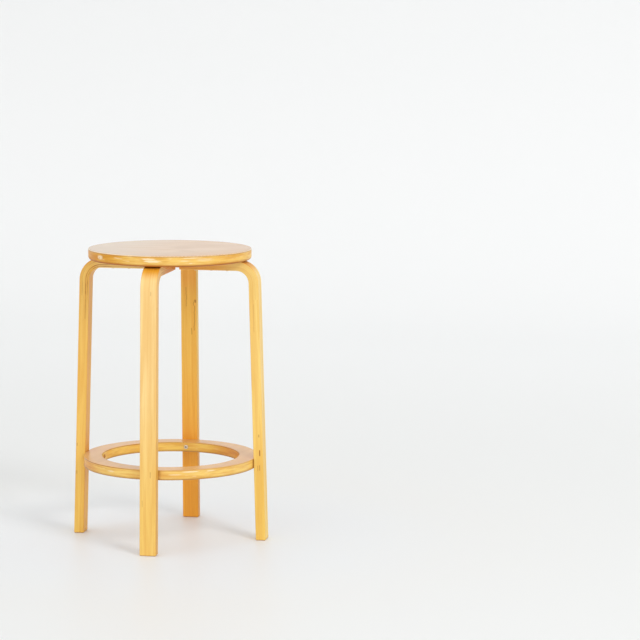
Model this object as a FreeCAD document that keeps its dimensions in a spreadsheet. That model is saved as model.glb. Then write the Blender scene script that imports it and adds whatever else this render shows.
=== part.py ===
import FreeCAD, Part
import math
import os
import Sketcher

# Counter-height stool with four bent L-shaped legs, a round seat and a ring footrest.
# The origin is on the floor under the middle of the seat, with +Z up.
# The legs stand on the X and Y axes, and the front leg is on -Y.

# Driving sizes, in millimetres and degrees.
SIZES = {
    # floor to the top of the seat
    "seat_height": 650,
    "seat_diameter": 362,
    "seat_thickness": 24,
    # veneer on both faces of the seat
    "face_veneer": 1.5,
    # solid band bent round the edge of the core
    "band_width": 8,
    "top_edge_round": 1,
    "bottom_edge_round": 7,
    # bevelled joint where the two ends of the band meet
    "scarf_azimuth": 227,
    "scarf_angle": 15,
    "scarf_seam": 0.15,
    # headless pins that hold the joint
    "brad_diameter": 1.6,
    "brad_length": 16,
    "brad_spacing": 11,
    "brad_clearance": 0.05,
    # legs, with the bend measured on its outer face
    "leg_width": 36.5,
    "leg_thickness": 22,
    "leg_lean": 1.7,
    "foot_reach": 220.5,
    "bend_outer_radius": 50,
    "arm_end_reach": 25,
    "leg_edge_round": 2,
    "foot_bevel": 1.5,
    # slots sawn in the top of each leg, and the plies glued into them
    "slot_count": 5,
    "ply_thickness": 1.5,
    "glue_line": 0.05,
    # how far the slots run down below the bend
    "slot_run": 35,
    # three screws hold each arm to the seat
    "arm_screw_reach": 58,
    "arm_screw_pitch": 36,
    "arm_screw_count": 3,
    "arm_screw_length": 36,
    "arm_screw_diameter": 4.5,
    # ring footrest, cut flat at each leg, and how far its rim would reach into a leg uncut
    "ring_width": 40.5,
    "ring_flat_depth": 0.9,
    "ring_thickness": 22,
    "ring_top_height": 185,
    "ring_veneer": 2,
    "ring_edge_round": 1,
    # one screw through the ring into each leg
    "ring_screw_length": 56,
    "ring_screw_diameter": 5,
    # screw heads and their hexagon sockets
    "head_diameter": 9.5,
    "head_height": 2.8,
    "head_edge_height": 1,
    "tip_length": 6,
    "socket_width": 3.2,
    "socket_depth": 1.8,
    "screw_clearance": 0.1,
}

# Sizes that follow from the driving ones.
DERIVED = {
    "seat_radius": "=seat_diameter / 2",
    "core_radius": "=seat_radius - band_width",
    "underside": "=seat_height - seat_thickness",
    "core_bottom": "=underside + face_veneer",
    "core_top": "=seat_height - face_veneer",
    "core_thickness": "=seat_thickness - 2 * face_veneer",
    "scarf_length": "=2 * band_width / sin(scarf_angle)",
    "brad_height": "=underside + seat_thickness / 2",
    "bend_inner_radius": "=bend_outer_radius - leg_thickness",
    "bend_height": "=underside - bend_outer_radius",
    "slot_end_height": "=bend_height - slot_run",
    "bend_reach": "=foot_reach - bend_height * tan(leg_lean) - bend_outer_radius / cos(leg_lean)",
    "foot_inner_reach": "=foot_reach - leg_thickness / cos(leg_lean)",
    "slot_width": "=ply_thickness + 2 * glue_line",
    "tongue": "=(leg_thickness - slot_count * slot_width) / (slot_count + 1)",
    "arm_hole_radius": "=arm_screw_diameter / 2 + screw_clearance",
    "arm_hole_depth": "=arm_screw_length - leg_thickness + screw_clearance",
    "arm_screw_run": "=arm_screw_pitch * (arm_screw_count - 1)",
    "arm_underside": "=underside - leg_thickness",
    "ring_bottom": "=ring_top_height - ring_thickness",
    "ring_middle": "=ring_top_height - ring_thickness / 2",
    "leg_inner_at_ring": "=foot_inner_reach - ring_middle * tan(leg_lean)",
    "ring_outer_radius": "=leg_inner_at_ring + ring_flat_depth",
    "ring_hole_radius": "=ring_outer_radius - ring_width",
    "ring_core_bottom": "=ring_bottom + ring_veneer",
    "ring_core_top": "=ring_top_height - ring_veneer",
    "ring_core_thickness": "=ring_thickness - 2 * ring_veneer",
    "head_radius": "=head_diameter / 2",
    "ring_head_seat": "=sqrt(ring_hole_radius^2 - head_radius^2)",
    "ring_hole_for_screw": "=ring_screw_diameter / 2 + screw_clearance",
    "ring_screw_end": "=ring_head_seat + ring_screw_length + screw_clearance",
    "brad_hole_radius": "=brad_diameter / 2 + brad_clearance",
}

LEGS = {"right": 0, "back": 90, "left": 180, "front": 270}

Y_AXIS = FreeCAD.Vector(0, 1, 0)
Z_AXIS = FreeCAD.Vector(0, 0, 1)
QUARTER_TURN = 90
FULL_TURN = 360
# geometry numbers that a sketch gives to its own origin and axes
ORIGIN = (-1, 1)
HORIZONTAL_AXIS = -1
VERTICAL_AXIS = -2
START, END, CENTRE = 1, 2, 3
# any number will do to start a sketch dimension: its formula replaces it
START_VALUE = 1.0
# two places closer than this are the same place when an edge is picked
SAME = 0.001
HEXAGON = 6

doc = FreeCAD.newDocument("Stool")
sheet = doc.addObject("Spreadsheet::Sheet", "Sizes")
pieces = []


def fill_sheet():
    """Write each size and each formula in a cell of its own, under its name."""
    for row, (alias, value) in enumerate({**SIZES, **DERIVED}.items(), start=1):
        sheet.set(f"A{row}", alias)
        sheet.set(f"B{row}", str(value))
        sheet.setAlias(f"B{row}", alias)
    doc.recompute()


def size(alias):
    """The value of one cell, as a number."""
    return float(getattr(sheet, alias))


def bind(item, prop, formula):
    """Bind a property to a formula; names of cells in braces are looked up in the sheet."""
    for alias in {**SIZES, **DERIVED}:
        formula = formula.replace("{" + alias + "}", f"Sizes.{alias}")
    item.setExpression(prop, formula)


def new_body(label):
    """An empty body that becomes one sub-part."""
    body = doc.addObject("PartDesign::Body", label)
    body.Label = label
    body.AllowCompound = True
    pieces.append(body)
    return body


def origin_item(body, role):
    """One plane or axis of a body's own origin."""
    return next(item for item in body.Origin.OriginFeatures if item.Role == role)


def new_sketch(body, name, plane, height=None):
    """A sketch on an origin plane, lifted along the plane's normal by a formula."""
    sketch = body.newObject("Sketcher::SketchObject", f"{body.Label}_{name}")
    sketch.AttachmentSupport = [(origin_item(body, plane), "")]
    sketch.MapMode = "FlatFace"
    if height is not None:
        bind(sketch, "AttachmentOffset.Base.z", height)
    return sketch


def dimension(sketch, name, formula, kind, *where):
    """A named sketch dimension that follows a formula."""
    index = sketch.addConstraint(Sketcher.Constraint(kind, *where))
    sketch.renameConstraint(index, name)
    bind(sketch, f"Constraints.{name}", formula)


def add_circle(sketch, name, radius, across=0, up=0):
    """A circle; across and up are 0 or a formula, measured from the sketch's origin."""
    rough = Part.Circle(FreeCAD.Vector(START_VALUE, START_VALUE, 0), Z_AXIS, START_VALUE)
    index = sketch.addGeometry(rough)
    dimension(sketch, f"{name}_radius", radius, "Radius", index, START_VALUE)
    if across == 0 and up == 0:
        sketch.addConstraint(Sketcher.Constraint("Coincident", index, CENTRE, *ORIGIN))
        return
    for label, kind, formula, axis in (
        ("across", "DistanceX", across, VERTICAL_AXIS),
        ("up", "DistanceY", up, HORIZONTAL_AXIS),
    ):
        if formula == 0:
            sketch.addConstraint(Sketcher.Constraint("PointOnObject", index, CENTRE, axis))
        else:
            dimension(sketch, f"{name}_{label}", formula, kind, *ORIGIN, index, CENTRE, START_VALUE)


def extrude(body, kind, name, sketch, length, reverse=False, both=False):
    """Pad or pocket a sketch by a formula; both means half of it to each side."""
    feature = body.newObject(f"PartDesign::{kind}", f"{body.Label}_{name}")
    feature.Profile = (sketch, [""])
    feature.Type = "Length"
    feature.SideType = "Symmetric" if both else "One side"
    feature.Reversed = reverse
    bind(feature, "Length", length)
    body.Tip = feature
    return feature


def polar(body, name, feature):
    """Repeat a feature at the four legs."""
    pattern = body.newObject("PartDesign::PolarPattern", f"{body.Label}_{name}")
    pattern.Originals = [feature]
    pattern.Axis = (origin_item(body, "Z_Axis"), [""])
    pattern.Angle = FULL_TURN
    pattern.Occurrences = len(LEGS)
    body.Tip = pattern
    return pattern


def dress(body, kind, name, base, amount, chosen):
    """Round or bevel the edges of a feature that the test picks."""
    doc.recompute()
    edges = [f"Edge{i}" for i, edge in enumerate(base.Shape.Edges, start=1) if chosen(edge)]
    feature = body.newObject(f"PartDesign::{kind}", f"{body.Label}_{name}")
    feature.Base = (base, edges)
    bind(feature, "Radius" if kind == "Fillet" else "Size", amount)
    body.Tip = feature
    return feature


def turned(degrees):
    """The placement of a piece that is made on +X and stands at another leg."""
    return FreeCAD.Placement(FreeCAD.Vector(), FreeCAD.Rotation(Z_AXIS, degrees))


# Bent strips: the leg, its slots and its plies share one bend.

def bent_strip(sketch, name, outer, inner, low_end):
    """Outline a strip of the L: along the arm, round the bend and down to its low end.

    outer and inner are formulas for how deep its two faces lie under the leg's outer face.
    low_end is a formula for the height of its lower end, or None for the floor.
    """
    lean = math.radians(size("leg_lean"))
    bend = FreeCAD.Vector(size("bend_reach"), size("bend_height"), 0)
    arm_end = size("arm_end_reach")
    arcs = []
    for radius in (size("bend_outer_radius"), size("bend_inner_radius")):
        circle = Part.Circle(bend, Z_AXIS, radius)
        arcs.append(Part.ArcOfCircle(circle, lean, math.pi / 2))
    outer_arc, inner_arc = sketch.addGeometry(arcs)

    def line(first, second):
        start = FreeCAD.Vector(*first, 0)
        return sketch.addGeometry(Part.LineSegment(start, FreeCAD.Vector(*second, 0)))

    outer_low = (arcs[0].StartPoint.x, arcs[0].StartPoint.y)
    inner_low = (arcs[1].StartPoint.x, arcs[1].StartPoint.y)
    outer_top = arcs[0].EndPoint.y
    inner_top = arcs[1].EndPoint.y
    outer_leg = line((size("foot_reach"), 0), outer_low)
    top = line((bend.x, outer_top), (arm_end, outer_top))
    arm_face = line((arm_end, outer_top), (arm_end, inner_top))
    under = line((arm_end, inner_top), (bend.x, inner_top))
    inner_leg = line(inner_low, (size("foot_inner_reach"), 0))
    foot = line((size("foot_inner_reach"), 0), (size("foot_reach"), 0))

    for kind, *where in (
        ("Tangent", outer_leg, END, outer_arc, START),
        ("Tangent", outer_arc, END, top, START),
        ("Coincident", top, END, arm_face, START),
        ("Coincident", arm_face, END, under, START),
        ("Tangent", under, END, inner_arc, END),
        ("Tangent", inner_arc, START, inner_leg, START),
        ("Coincident", inner_leg, END, foot, START),
        ("Coincident", foot, END, outer_leg, START),
        ("Coincident", outer_arc, CENTRE, inner_arc, CENTRE),
        ("Horizontal", top),
        ("Vertical", arm_face),
        ("Horizontal", under),
        ("Horizontal", foot),
        ("Parallel", outer_leg, inner_leg),
    ):
        sketch.addConstraint(Sketcher.Constraint(kind, *where))
    dimension(sketch, f"{name}_outer", "{bend_outer_radius} - " + outer, "Radius", outer_arc,
              size("bend_outer_radius"))
    dimension(sketch, f"{name}_inner", "{bend_outer_radius} - " + inner, "Radius", inner_arc,
              size("bend_inner_radius"))
    dimension(sketch, f"{name}_bend_reach", "{bend_reach}", "DistanceX", *ORIGIN,
              outer_arc, CENTRE, bend.x)
    dimension(sketch, f"{name}_bend_height", "{bend_height}", "DistanceY", *ORIGIN,
              outer_arc, CENTRE, bend.y)
    dimension(sketch, f"{name}_arm_end", "{arm_end_reach}", "DistanceX", *ORIGIN,
              top, END, arm_end)
    dimension(sketch, f"{name}_lean", "90 + {leg_lean}", "Angle", outer_leg,
              math.pi / 2 + lean)
    if low_end is None:
        sketch.addConstraint(Sketcher.Constraint("PointOnObject", foot, START, HORIZONTAL_AXIS))
    else:
        dimension(sketch, f"{name}_low_end", low_end, "DistanceY", *ORIGIN,
                  foot, START, START_VALUE)


def slot_faces(number):
    """How deep the two faces of one slot lie under the leg's outer face."""
    outer = "(%d * {tongue} + %d * {slot_width})" % (number, number - 1)
    inner = "(%d * {tongue} + %d * {slot_width})" % (number, number)
    return outer, inner


def arm_holes(body, base):
    """Drill the arm for its screws, from below."""
    sketch = new_sketch(body, "screw_holes_sketch", "XY_Plane")
    for number in range(int(size("arm_screw_count"))):
        across = "{arm_screw_reach} + %d * {arm_screw_pitch}" % number
        add_circle(sketch, f"hole_{number}", "{arm_hole_radius}", across=across)
    return extrude(body, "Pocket", "screw_holes", sketch, "{seat_height}", reverse=True)


def make_leg(side, azimuth):
    """Solid birch leg, slotted from the arm's end to below the bend."""
    body = new_body(f"{side}_leg")
    outline = new_sketch(body, "outline", "XZ_Plane")
    bent_strip(outline, "leg", "0", "{leg_thickness}", None)
    blank = extrude(body, "Pad", "blank", outline, "{leg_width}", both=True)

    half_width = size("leg_width") / 2
    end = size("arm_end_reach")

    def along_the_leg(edge):
        box = edge.BoundBox
        on_side = abs(abs(box.Center.y) - half_width) < SAME and box.YLength < SAME
        return on_side and box.ZMax > SAME and box.XMax - end > SAME

    def round_the_foot(edge):
        return edge.BoundBox.ZMax < SAME

    softened = dress(body, "Fillet", "soft_edges", blank, "{leg_edge_round}", along_the_leg)
    bevelled = dress(body, "Chamfer", "bevelled_foot", softened, "{foot_bevel}", round_the_foot)
    slots = new_sketch(body, "slots_sketch", "XZ_Plane")
    for number in range(1, int(size("slot_count")) + 1):
        outer, inner = slot_faces(number)
        bent_strip(slots, f"slot_{number}", outer, inner, "{slot_end_height}")
    cut = extrude(body, "Pocket", "slots", slots, "2 * {leg_width}", both=True)
    drilled = arm_holes(body, cut)

    pilot = new_sketch(body, "ring_screw_sketch", "YZ_Plane")
    add_circle(pilot, "pilot", "{ring_hole_for_screw}", up="{ring_middle}")
    extrude(body, "Pocket", "ring_screw_hole", pilot, "{ring_screw_end}", reverse=True)
    body.Placement = turned(azimuth)


def make_ply(side, azimuth, number):
    """One bent ply, glued into its slot and drilled with the arm."""
    body = new_body(f"{side}_leg_ply_{number}")
    outer, inner = slot_faces(number)
    outline = new_sketch(body, "outline", "XZ_Plane")
    bent_strip(outline, "ply", f"({outer} + {{glue_line}})", f"({inner} - {{glue_line}})",
               "{slot_end_height} + {glue_line}")
    strip = extrude(body, "Pad", "strip", outline, "{leg_width}", both=True)
    arm_holes(body, strip)
    body.Placement = turned(azimuth)


# Screws: a domed head with a hexagon socket, a shank and a point.

def screw_profile(sketch, length, diameter):
    """Half section of a screw that points up the sketch's vertical axis."""
    head = size("head_radius")
    edge = size("head_edge_height")
    height = size("head_height")
    rise = height - edge
    dome = (head ** 2 + rise ** 2) / (2 * rise)
    shank = size(diameter) / 2
    tip = size(length)
    tip_start = tip - size("tip_length")
    points = [(0, tip), (0, -height), (head, -edge), (head, 0), (shank, 0), (shank, tip_start)]
    places = [FreeCAD.Vector(x, y, 0) for x, y in points]
    axis = sketch.addGeometry(Part.LineSegment(places[0], places[1]))
    centre = FreeCAD.Vector(0, dome - height, 0)
    spread = math.asin(head / dome)
    dome_arc = sketch.addGeometry(
        Part.ArcOfCircle(Part.Circle(centre, Z_AXIS, dome), -math.pi / 2, spread - math.pi / 2)
    )
    rim = sketch.addGeometry(Part.LineSegment(places[2], places[3]))
    seat = sketch.addGeometry(Part.LineSegment(places[3], places[4]))
    side = sketch.addGeometry(Part.LineSegment(places[4], places[5]))
    point = sketch.addGeometry(Part.LineSegment(places[5], places[0]))
    for kind, *where in (
        ("Coincident", axis, END, dome_arc, START),
        ("Coincident", dome_arc, END, rim, START),
        ("Coincident", rim, END, seat, START),
        ("Coincident", seat, END, side, START),
        ("Coincident", side, END, point, START),
        ("Coincident", point, END, axis, START),
        ("PointOnObject", axis, START, VERTICAL_AXIS),
        ("PointOnObject", axis, END, VERTICAL_AXIS),
        ("PointOnObject", dome_arc, CENTRE, VERTICAL_AXIS),
        ("PointOnObject", seat, START, HORIZONTAL_AXIS),
        ("Horizontal", seat),
        ("Vertical", rim),
        ("Vertical", side),
    ):
        sketch.addConstraint(Sketcher.Constraint(kind, *where))
    dimension(sketch, "head_radius", "{head_radius}", "DistanceX", *ORIGIN, rim, END, head)
    dimension(sketch, "shank_radius", f"{{{diameter}}} / 2", "DistanceX", *ORIGIN,
              side, START, shank)
    dimension(sketch, "length", f"{{{length}}}", "DistanceY", *ORIGIN, axis, START, tip)
    dimension(sketch, "point", "{tip_length}", "DistanceY", side, END, axis, START, tip - tip_start)
    dimension(sketch, "rim", "{head_edge_height}", "DistanceY", rim, START, *ORIGIN, edge)
    dimension(sketch, "head", "{head_height}", "DistanceY", axis, END, *ORIGIN, height)


def add_socket(body, dome_top):
    """Cut a hexagon socket in the top of the dome."""
    sketch = new_sketch(body, "socket_sketch", "XY_Plane", height=dome_top)
    apothem = size("socket_width") / 2
    corner = apothem / math.cos(math.pi / HEXAGON)
    angles = [2 * math.pi * k / HEXAGON for k in range(HEXAGON)]
    corners = [FreeCAD.Vector(corner * math.cos(a), corner * math.sin(a), 0) for a in angles]
    sides = [
        sketch.addGeometry(Part.LineSegment(corners[k], corners[(k + 1) % HEXAGON]))
        for k in range(HEXAGON)
    ]
    guide = sketch.addGeometry(Part.Circle(FreeCAD.Vector(), Z_AXIS, apothem), True)
    sketch.addConstraint(Sketcher.Constraint("Coincident", guide, CENTRE, *ORIGIN))
    for k in range(HEXAGON):
        following = sides[(k + 1) % HEXAGON]
        sketch.addConstraint(Sketcher.Constraint("Coincident", sides[k], END, following, START))
        sketch.addConstraint(Sketcher.Constraint("Tangent", sides[k], guide))
        if k:
            sketch.addConstraint(Sketcher.Constraint("Equal", sides[0], sides[k]))
    sketch.addConstraint(Sketcher.Constraint("PointOnObject", sides[0], START, HORIZONTAL_AXIS))
    dimension(sketch, "half_width", "{socket_width} / 2", "Radius", guide, apothem)
    return extrude(body, "Pocket", "socket", sketch, "{socket_depth}", reverse=True)


def make_screw(label, length, diameter):
    """A screw along +Z, with the underside of its head on the XY plane."""
    body = new_body(label)
    profile = new_sketch(body, "profile", "XZ_Plane")
    screw_profile(profile, length, diameter)
    turned_blank = body.newObject("PartDesign::Revolution", f"{label}_turned")
    turned_blank.Profile = (profile, [""])
    turned_blank.ReferenceAxis = (profile, ["V_Axis"])
    turned_blank.Angle = FULL_TURN
    body.Tip = turned_blank
    socket = add_socket(body, "-{head_height}")
    return body, [turned_blank, socket]


def make_arm_screws(side, azimuth):
    """Three screws up through an arm into the seat."""
    body, features = make_screw(f"{side}_leg_screws", "arm_screw_length",
                                "arm_screw_diameter")
    row = body.newObject("PartDesign::LinearPattern", f"{side}_leg_screws_row")
    row.Originals = features
    row.Direction = (origin_item(body, "X_Axis"), [""])
    bind(row, "Length", "{arm_screw_run}")
    bind(row, "Occurrences", "{arm_screw_count}")
    body.Tip = row
    start = FreeCAD.Vector(size("arm_screw_reach"), 0, size("arm_underside"))
    turn = turned(azimuth)
    body.Placement = FreeCAD.Placement(turn.multVec(start), turn.Rotation)


def make_ring_screw(side, azimuth):
    """One screw out through the ring into a leg."""
    body, _ = make_screw(f"{side}_footrest_screw", "ring_screw_length", "ring_screw_diameter")
    start = FreeCAD.Vector(size("ring_head_seat"), 0, size("ring_middle"))
    outward = FreeCAD.Rotation(Y_AXIS, QUARTER_TURN)
    turn = turned(azimuth)
    body.Placement = FreeCAD.Placement(turn.multVec(start), turn.Rotation.multiply(outward))


# Footrest: a ring of plies, with a flat on its rim for each leg.

def make_ring_layer(label, bottom, thickness, rounded=None):
    """One layer of the ring; rounded is top or bottom where its edges are softened."""
    body = new_body(label)
    sketch = new_sketch(body, "outline", "XY_Plane", height=bottom)
    add_circle(sketch, "rim", "{ring_outer_radius}")
    add_circle(sketch, "hole", "{ring_hole_radius}")
    layer = extrude(body, "Pad", "layer", sketch, thickness)

    flat = new_sketch(body, "flat_sketch", "XZ_Plane")
    inner = size("foot_inner_reach")
    lean = math.radians(size("leg_lean"))
    top = 2 * size("ring_top_height")
    beyond = 2 * size("ring_outer_radius")
    corners = [(inner, 0), (beyond, 0), (beyond, top), (inner - top * math.tan(lean), top)]
    places = [FreeCAD.Vector(x, y, 0) for x, y in corners]
    sides = [
        flat.addGeometry(Part.LineSegment(places[k], places[(k + 1) % 4])) for k in range(4)
    ]
    for k in range(4):
        joined = (sides[k], END, sides[(k + 1) % 4], START)
        flat.addConstraint(Sketcher.Constraint("Coincident", *joined))
    flat.addConstraint(Sketcher.Constraint("PointOnObject", sides[0], START, HORIZONTAL_AXIS))
    flat.addConstraint(Sketcher.Constraint("Horizontal", sides[0]))
    flat.addConstraint(Sketcher.Constraint("Vertical", sides[1]))
    flat.addConstraint(Sketcher.Constraint("Horizontal", sides[2]))
    dimension(flat, "inner_reach", "{foot_inner_reach}", "DistanceX", *ORIGIN,
              sides[0], START, inner)
    dimension(flat, "beyond", "2 * {ring_outer_radius}", "DistanceX", *ORIGIN,
              sides[0], END, beyond)
    dimension(flat, "top", "2 * {ring_top_height}", "DistanceY", *ORIGIN, sides[2], START, top)
    dimension(flat, "lean", "{leg_lean} - 90", "Angle", sides[3], lean - math.pi / 2)
    seat = extrude(body, "Pocket", "flat", flat, "2 * {ring_outer_radius}", both=True)
    flats = polar(body, "flats", seat)
    if rounded is not None:
        edge_height = size("ring_top_height") if rounded == "top" else size("ring_bottom")

        def on_the_face(edge):
            box = edge.BoundBox
            return box.ZLength < SAME and abs(box.ZMin - edge_height) < SAME

        dress(body, "Fillet", "soft_edges", flats, "{ring_edge_round}", on_the_face)
    return body, flats


def make_footrest():
    """The core carries the screw holes; a veneer covers it above and below."""
    core, flats = make_ring_layer("footrest_core", "{ring_core_bottom}", "{ring_core_thickness}")
    sketch = new_sketch(core, "screw_sketch", "YZ_Plane")
    add_circle(sketch, "screw", "{ring_hole_for_screw}", up="{ring_middle}")
    hole = extrude(core, "Pocket", "screw_hole", sketch, "2 * {ring_outer_radius}", reverse=True)
    polar(core, "screw_holes", hole)
    make_ring_layer("footrest_top_veneer", "{ring_core_top}", "{ring_veneer}", "top")
    make_ring_layer("footrest_bottom_veneer", "{ring_bottom}", "{ring_veneer}", "bottom")


# Seat: core, band, two veneers and the pins of the band's joint.

def seat_pilot_holes(body, bottom, depth):
    """Pilot holes for the arm screws, repeated at the four legs."""
    sketch = new_sketch(body, "screw_sketch", "XY_Plane", height=bottom)
    for number in range(int(size("arm_screw_count"))):
        across = "{arm_screw_reach} + %d * {arm_screw_pitch}" % number
        add_circle(sketch, f"pilot_{number}", "{arm_hole_radius}", across=across)
    hole = extrude(body, "Pocket", "screw_hole", sketch, depth, reverse=True)
    return polar(body, "screw_holes", hole)


def brad_holes(body, rim=None):
    """Circles for the two pins, on a plane square to X at the rim of the seat."""
    sketch = new_sketch(body, "brad_sketch", "YZ_Plane", height=rim)
    for name, sign in (("left", "-"), ("right", "")):
        add_circle(sketch, name, "{brad_hole_radius}", across=f"{sign}{{brad_spacing}} / 2",
                   up="{brad_height}")
    return sketch


def make_seat_core():
    """A disc with pilot holes for the arm screws and, at the band's joint, for the pins."""
    body = new_body("seat_core")
    sketch = new_sketch(body, "outline", "XY_Plane", height="{core_bottom}")
    add_circle(sketch, "disc", "{core_radius}")
    extrude(body, "Pad", "disc", sketch, "{core_thickness}")
    seat_pilot_holes(body, "{core_bottom}", "{arm_hole_depth} - {face_veneer}")
    pins = brad_holes(body)
    pins.AttachmentOffset = FreeCAD.Placement(FreeCAD.Vector(), FreeCAD.Rotation(Y_AXIS, 1))
    bind(pins, "AttachmentOffset.Base.x", "{seat_radius} * sin({scarf_azimuth})")
    bind(pins, "AttachmentOffset.Base.z", "{seat_radius} * cos({scarf_azimuth})")
    bind(pins, "AttachmentOffset.Rotation.Angle", "{scarf_azimuth}")
    extrude(body, "Pocket", "brad_holes", pins, "{brad_length} + {brad_clearance}")


def make_seat_band():
    """The band is modelled with its joint on +X and turned into place."""
    body = new_body("seat_edge_band")
    sketch = new_sketch(body, "section", "XZ_Plane")
    inner, outer = size("core_radius"), size("seat_radius")
    low, high = size("underside"), size("core_top")
    corners = [(inner, low), (outer, low), (outer, high), (inner, high)]
    places = [FreeCAD.Vector(x, y, 0) for x, y in corners]
    sides = [
        sketch.addGeometry(Part.LineSegment(places[k], places[(k + 1) % 4])) for k in range(4)
    ]
    for k in range(4):
        joined = (sides[k], END, sides[(k + 1) % 4], START)
        sketch.addConstraint(Sketcher.Constraint("Coincident", *joined))
        straight = "Horizontal" if k % 2 == 0 else "Vertical"
        sketch.addConstraint(Sketcher.Constraint(straight, sides[k]))
    dimension(sketch, "inner", "{core_radius}", "DistanceX", *ORIGIN, sides[0], START, inner)
    dimension(sketch, "outer", "{seat_radius}", "DistanceX", *ORIGIN, sides[0], END, outer)
    dimension(sketch, "low", "{underside}", "DistanceY", *ORIGIN, sides[0], START, low)
    dimension(sketch, "high", "{core_top}", "DistanceY", *ORIGIN, sides[2], START, high)
    hoop = body.newObject("PartDesign::Revolution", "seat_edge_band_hoop")
    hoop.Profile = (sketch, [""])
    hoop.ReferenceAxis = (sketch, ["V_Axis"])
    hoop.Angle = FULL_TURN
    body.Tip = hoop

    def lower_rim(edge):
        box = edge.BoundBox
        flat = box.ZLength < SAME and abs(box.ZMin - low) < SAME
        return flat and abs(box.XMax - outer) < SAME

    dress(body, "Fillet", "soft_rim", hoop, "{bottom_edge_round}", lower_rim)
    cut_scarf(body)
    pins = brad_holes(body, "{seat_radius}")
    extrude(body, "Pocket", "brad_holes", pins, "{brad_length} + {brad_clearance}")
    body.Placement = turned(size("scarf_azimuth"))


def cut_scarf(body):
    """A fine slanted cut parts the hoop into a strip whose two ends overlap."""
    sketch = new_sketch(body, "scarf_sketch", "XY_Plane", height="{underside}")
    middle = size("core_radius") + size("band_width") / 2
    half = size("scarf_length") / 2
    lean = math.radians(QUARTER_TURN - size("scarf_angle"))
    along = FreeCAD.Vector(math.cos(lean), math.sin(lean), 0)
    across = FreeCAD.Vector(-along.y, along.x, 0) * (size("scarf_seam") / 2)
    centre = FreeCAD.Vector(middle, 0, 0)
    corners = [
        centre - along * half - across,
        centre + along * half - across,
        centre + along * half + across,
        centre - along * half + across,
    ]
    sides = [
        sketch.addGeometry(Part.LineSegment(corners[k], corners[(k + 1) % 4])) for k in range(4)
    ]
    ridge = sketch.addGeometry(
        Part.LineSegment(centre - along * half, centre + along * half), True
    )
    for k in range(4):
        following = sides[(k + 1) % 4]
        sketch.addConstraint(Sketcher.Constraint("Coincident", sides[k], END, following, START))
    sketch.addConstraint(Sketcher.Constraint("Perpendicular", sides[0], sides[1]))
    sketch.addConstraint(Sketcher.Constraint("Parallel", sides[0], sides[2]))
    sketch.addConstraint(Sketcher.Constraint("Parallel", sides[1], sides[3]))
    sketch.addConstraint(Sketcher.Constraint("Symmetric", sides[0], START, sides[2], END,
                                             ridge, START))
    sketch.addConstraint(Sketcher.Constraint("Symmetric", sides[0], END, sides[2], START,
                                             ridge, END))
    sketch.addConstraint(Sketcher.Constraint("Symmetric", ridge, START, ridge, END,
                                             middle_point(sketch, centre), START))
    dimension(sketch, "seam", "{scarf_seam}", "Distance", sides[1], size("scarf_seam"))
    dimension(sketch, "reach", "{scarf_length}", "Distance", sides[0], 2 * half)
    dimension(sketch, "slant", "90 - {scarf_angle}", "Angle", sides[0], lean)
    extrude(body, "Pocket", "scarf", sketch, "{seat_thickness}", reverse=True)


def middle_point(sketch, place):
    """A construction point in the middle of the band, on the horizontal axis."""
    index = sketch.addGeometry(Part.Point(place), True)
    sketch.addConstraint(Sketcher.Constraint("PointOnObject", index, START, HORIZONTAL_AXIS))
    dimension(sketch, "middle", "{core_radius} + {band_width} / 2", "DistanceX", *ORIGIN,
              index, START, place.x)
    return index


def make_seat_veneers():
    """The top veneer covers core and band; the bottom one lies inside the band."""
    top = new_body("seat_top_veneer")
    sketch = new_sketch(top, "outline", "XY_Plane", height="{core_top}")
    add_circle(sketch, "disc", "{seat_radius}")
    disc = extrude(top, "Pad", "disc", sketch, "{face_veneer}")
    upper = size("seat_height")
    dress(top, "Fillet", "soft_rim", disc, "{top_edge_round}",
          lambda edge: abs(edge.BoundBox.ZMin - upper) < SAME)
    bottom = new_body("seat_bottom_veneer")
    sketch = new_sketch(bottom, "outline", "XY_Plane", height="{underside}")
    add_circle(sketch, "disc", "{core_radius}")
    extrude(bottom, "Pad", "disc", sketch, "{face_veneer}")
    seat_pilot_holes(bottom, "{underside}", "{face_veneer}")


def make_brads():
    """Two pins side by side, flush with the band."""
    body = new_body("seat_band_brads")
    sketch = new_sketch(body, "outline", "YZ_Plane", height="{seat_radius}")
    for name, sign in (("left", "-"), ("right", "")):
        add_circle(sketch, name, "{brad_diameter} / 2", across=f"{sign}{{brad_spacing}} / 2",
                   up="{brad_height}")
    extrude(body, "Pad", "pins", sketch, "{brad_length}", reverse=True)
    body.Placement = turned(size("scarf_azimuth"))


def check_and_export():
    """Stop on any failed object or bad solid, then write one file for each piece."""
    doc.recompute()
    for item in doc.Objects:
        if any(word in item.State for word in ("Invalid", "Error")):
            raise RuntimeError(f"{item.Label} did not rebuild: {item.State}")
        if item.TypeId == "Sketcher::SketchObject" and not item.FullyConstrained:
            raise RuntimeError(f"{item.Label} is not fully constrained")
    os.makedirs("parts", exist_ok=True)
    for piece in pieces:
        shape = piece.Shape
        if shape.isNull() or not shape.isValid() or not shape.Solids:
            raise RuntimeError(f"{piece.Label} is not a good solid")
        print(f"{piece.Label}: {len(shape.Solids)} solid(s), {shape.Volume:.0f} mm3")
        shape.exportStep(f"parts/{piece.Label}.step")


fill_sheet()
make_seat_core()
make_seat_band()
make_seat_veneers()
make_brads()
for side, azimuth in LEGS.items():
    make_leg(side, azimuth)
    for number in range(1, int(size("slot_count")) + 1):
        make_ply(side, azimuth, number)
    make_arm_screws(side, azimuth)
    make_ring_screw(side, azimuth)
make_footrest()
check_and_export()
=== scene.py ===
import math
from typing import NamedTuple

import bmesh
import bpy
from mathutils import Euler, Matrix, Vector


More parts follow.
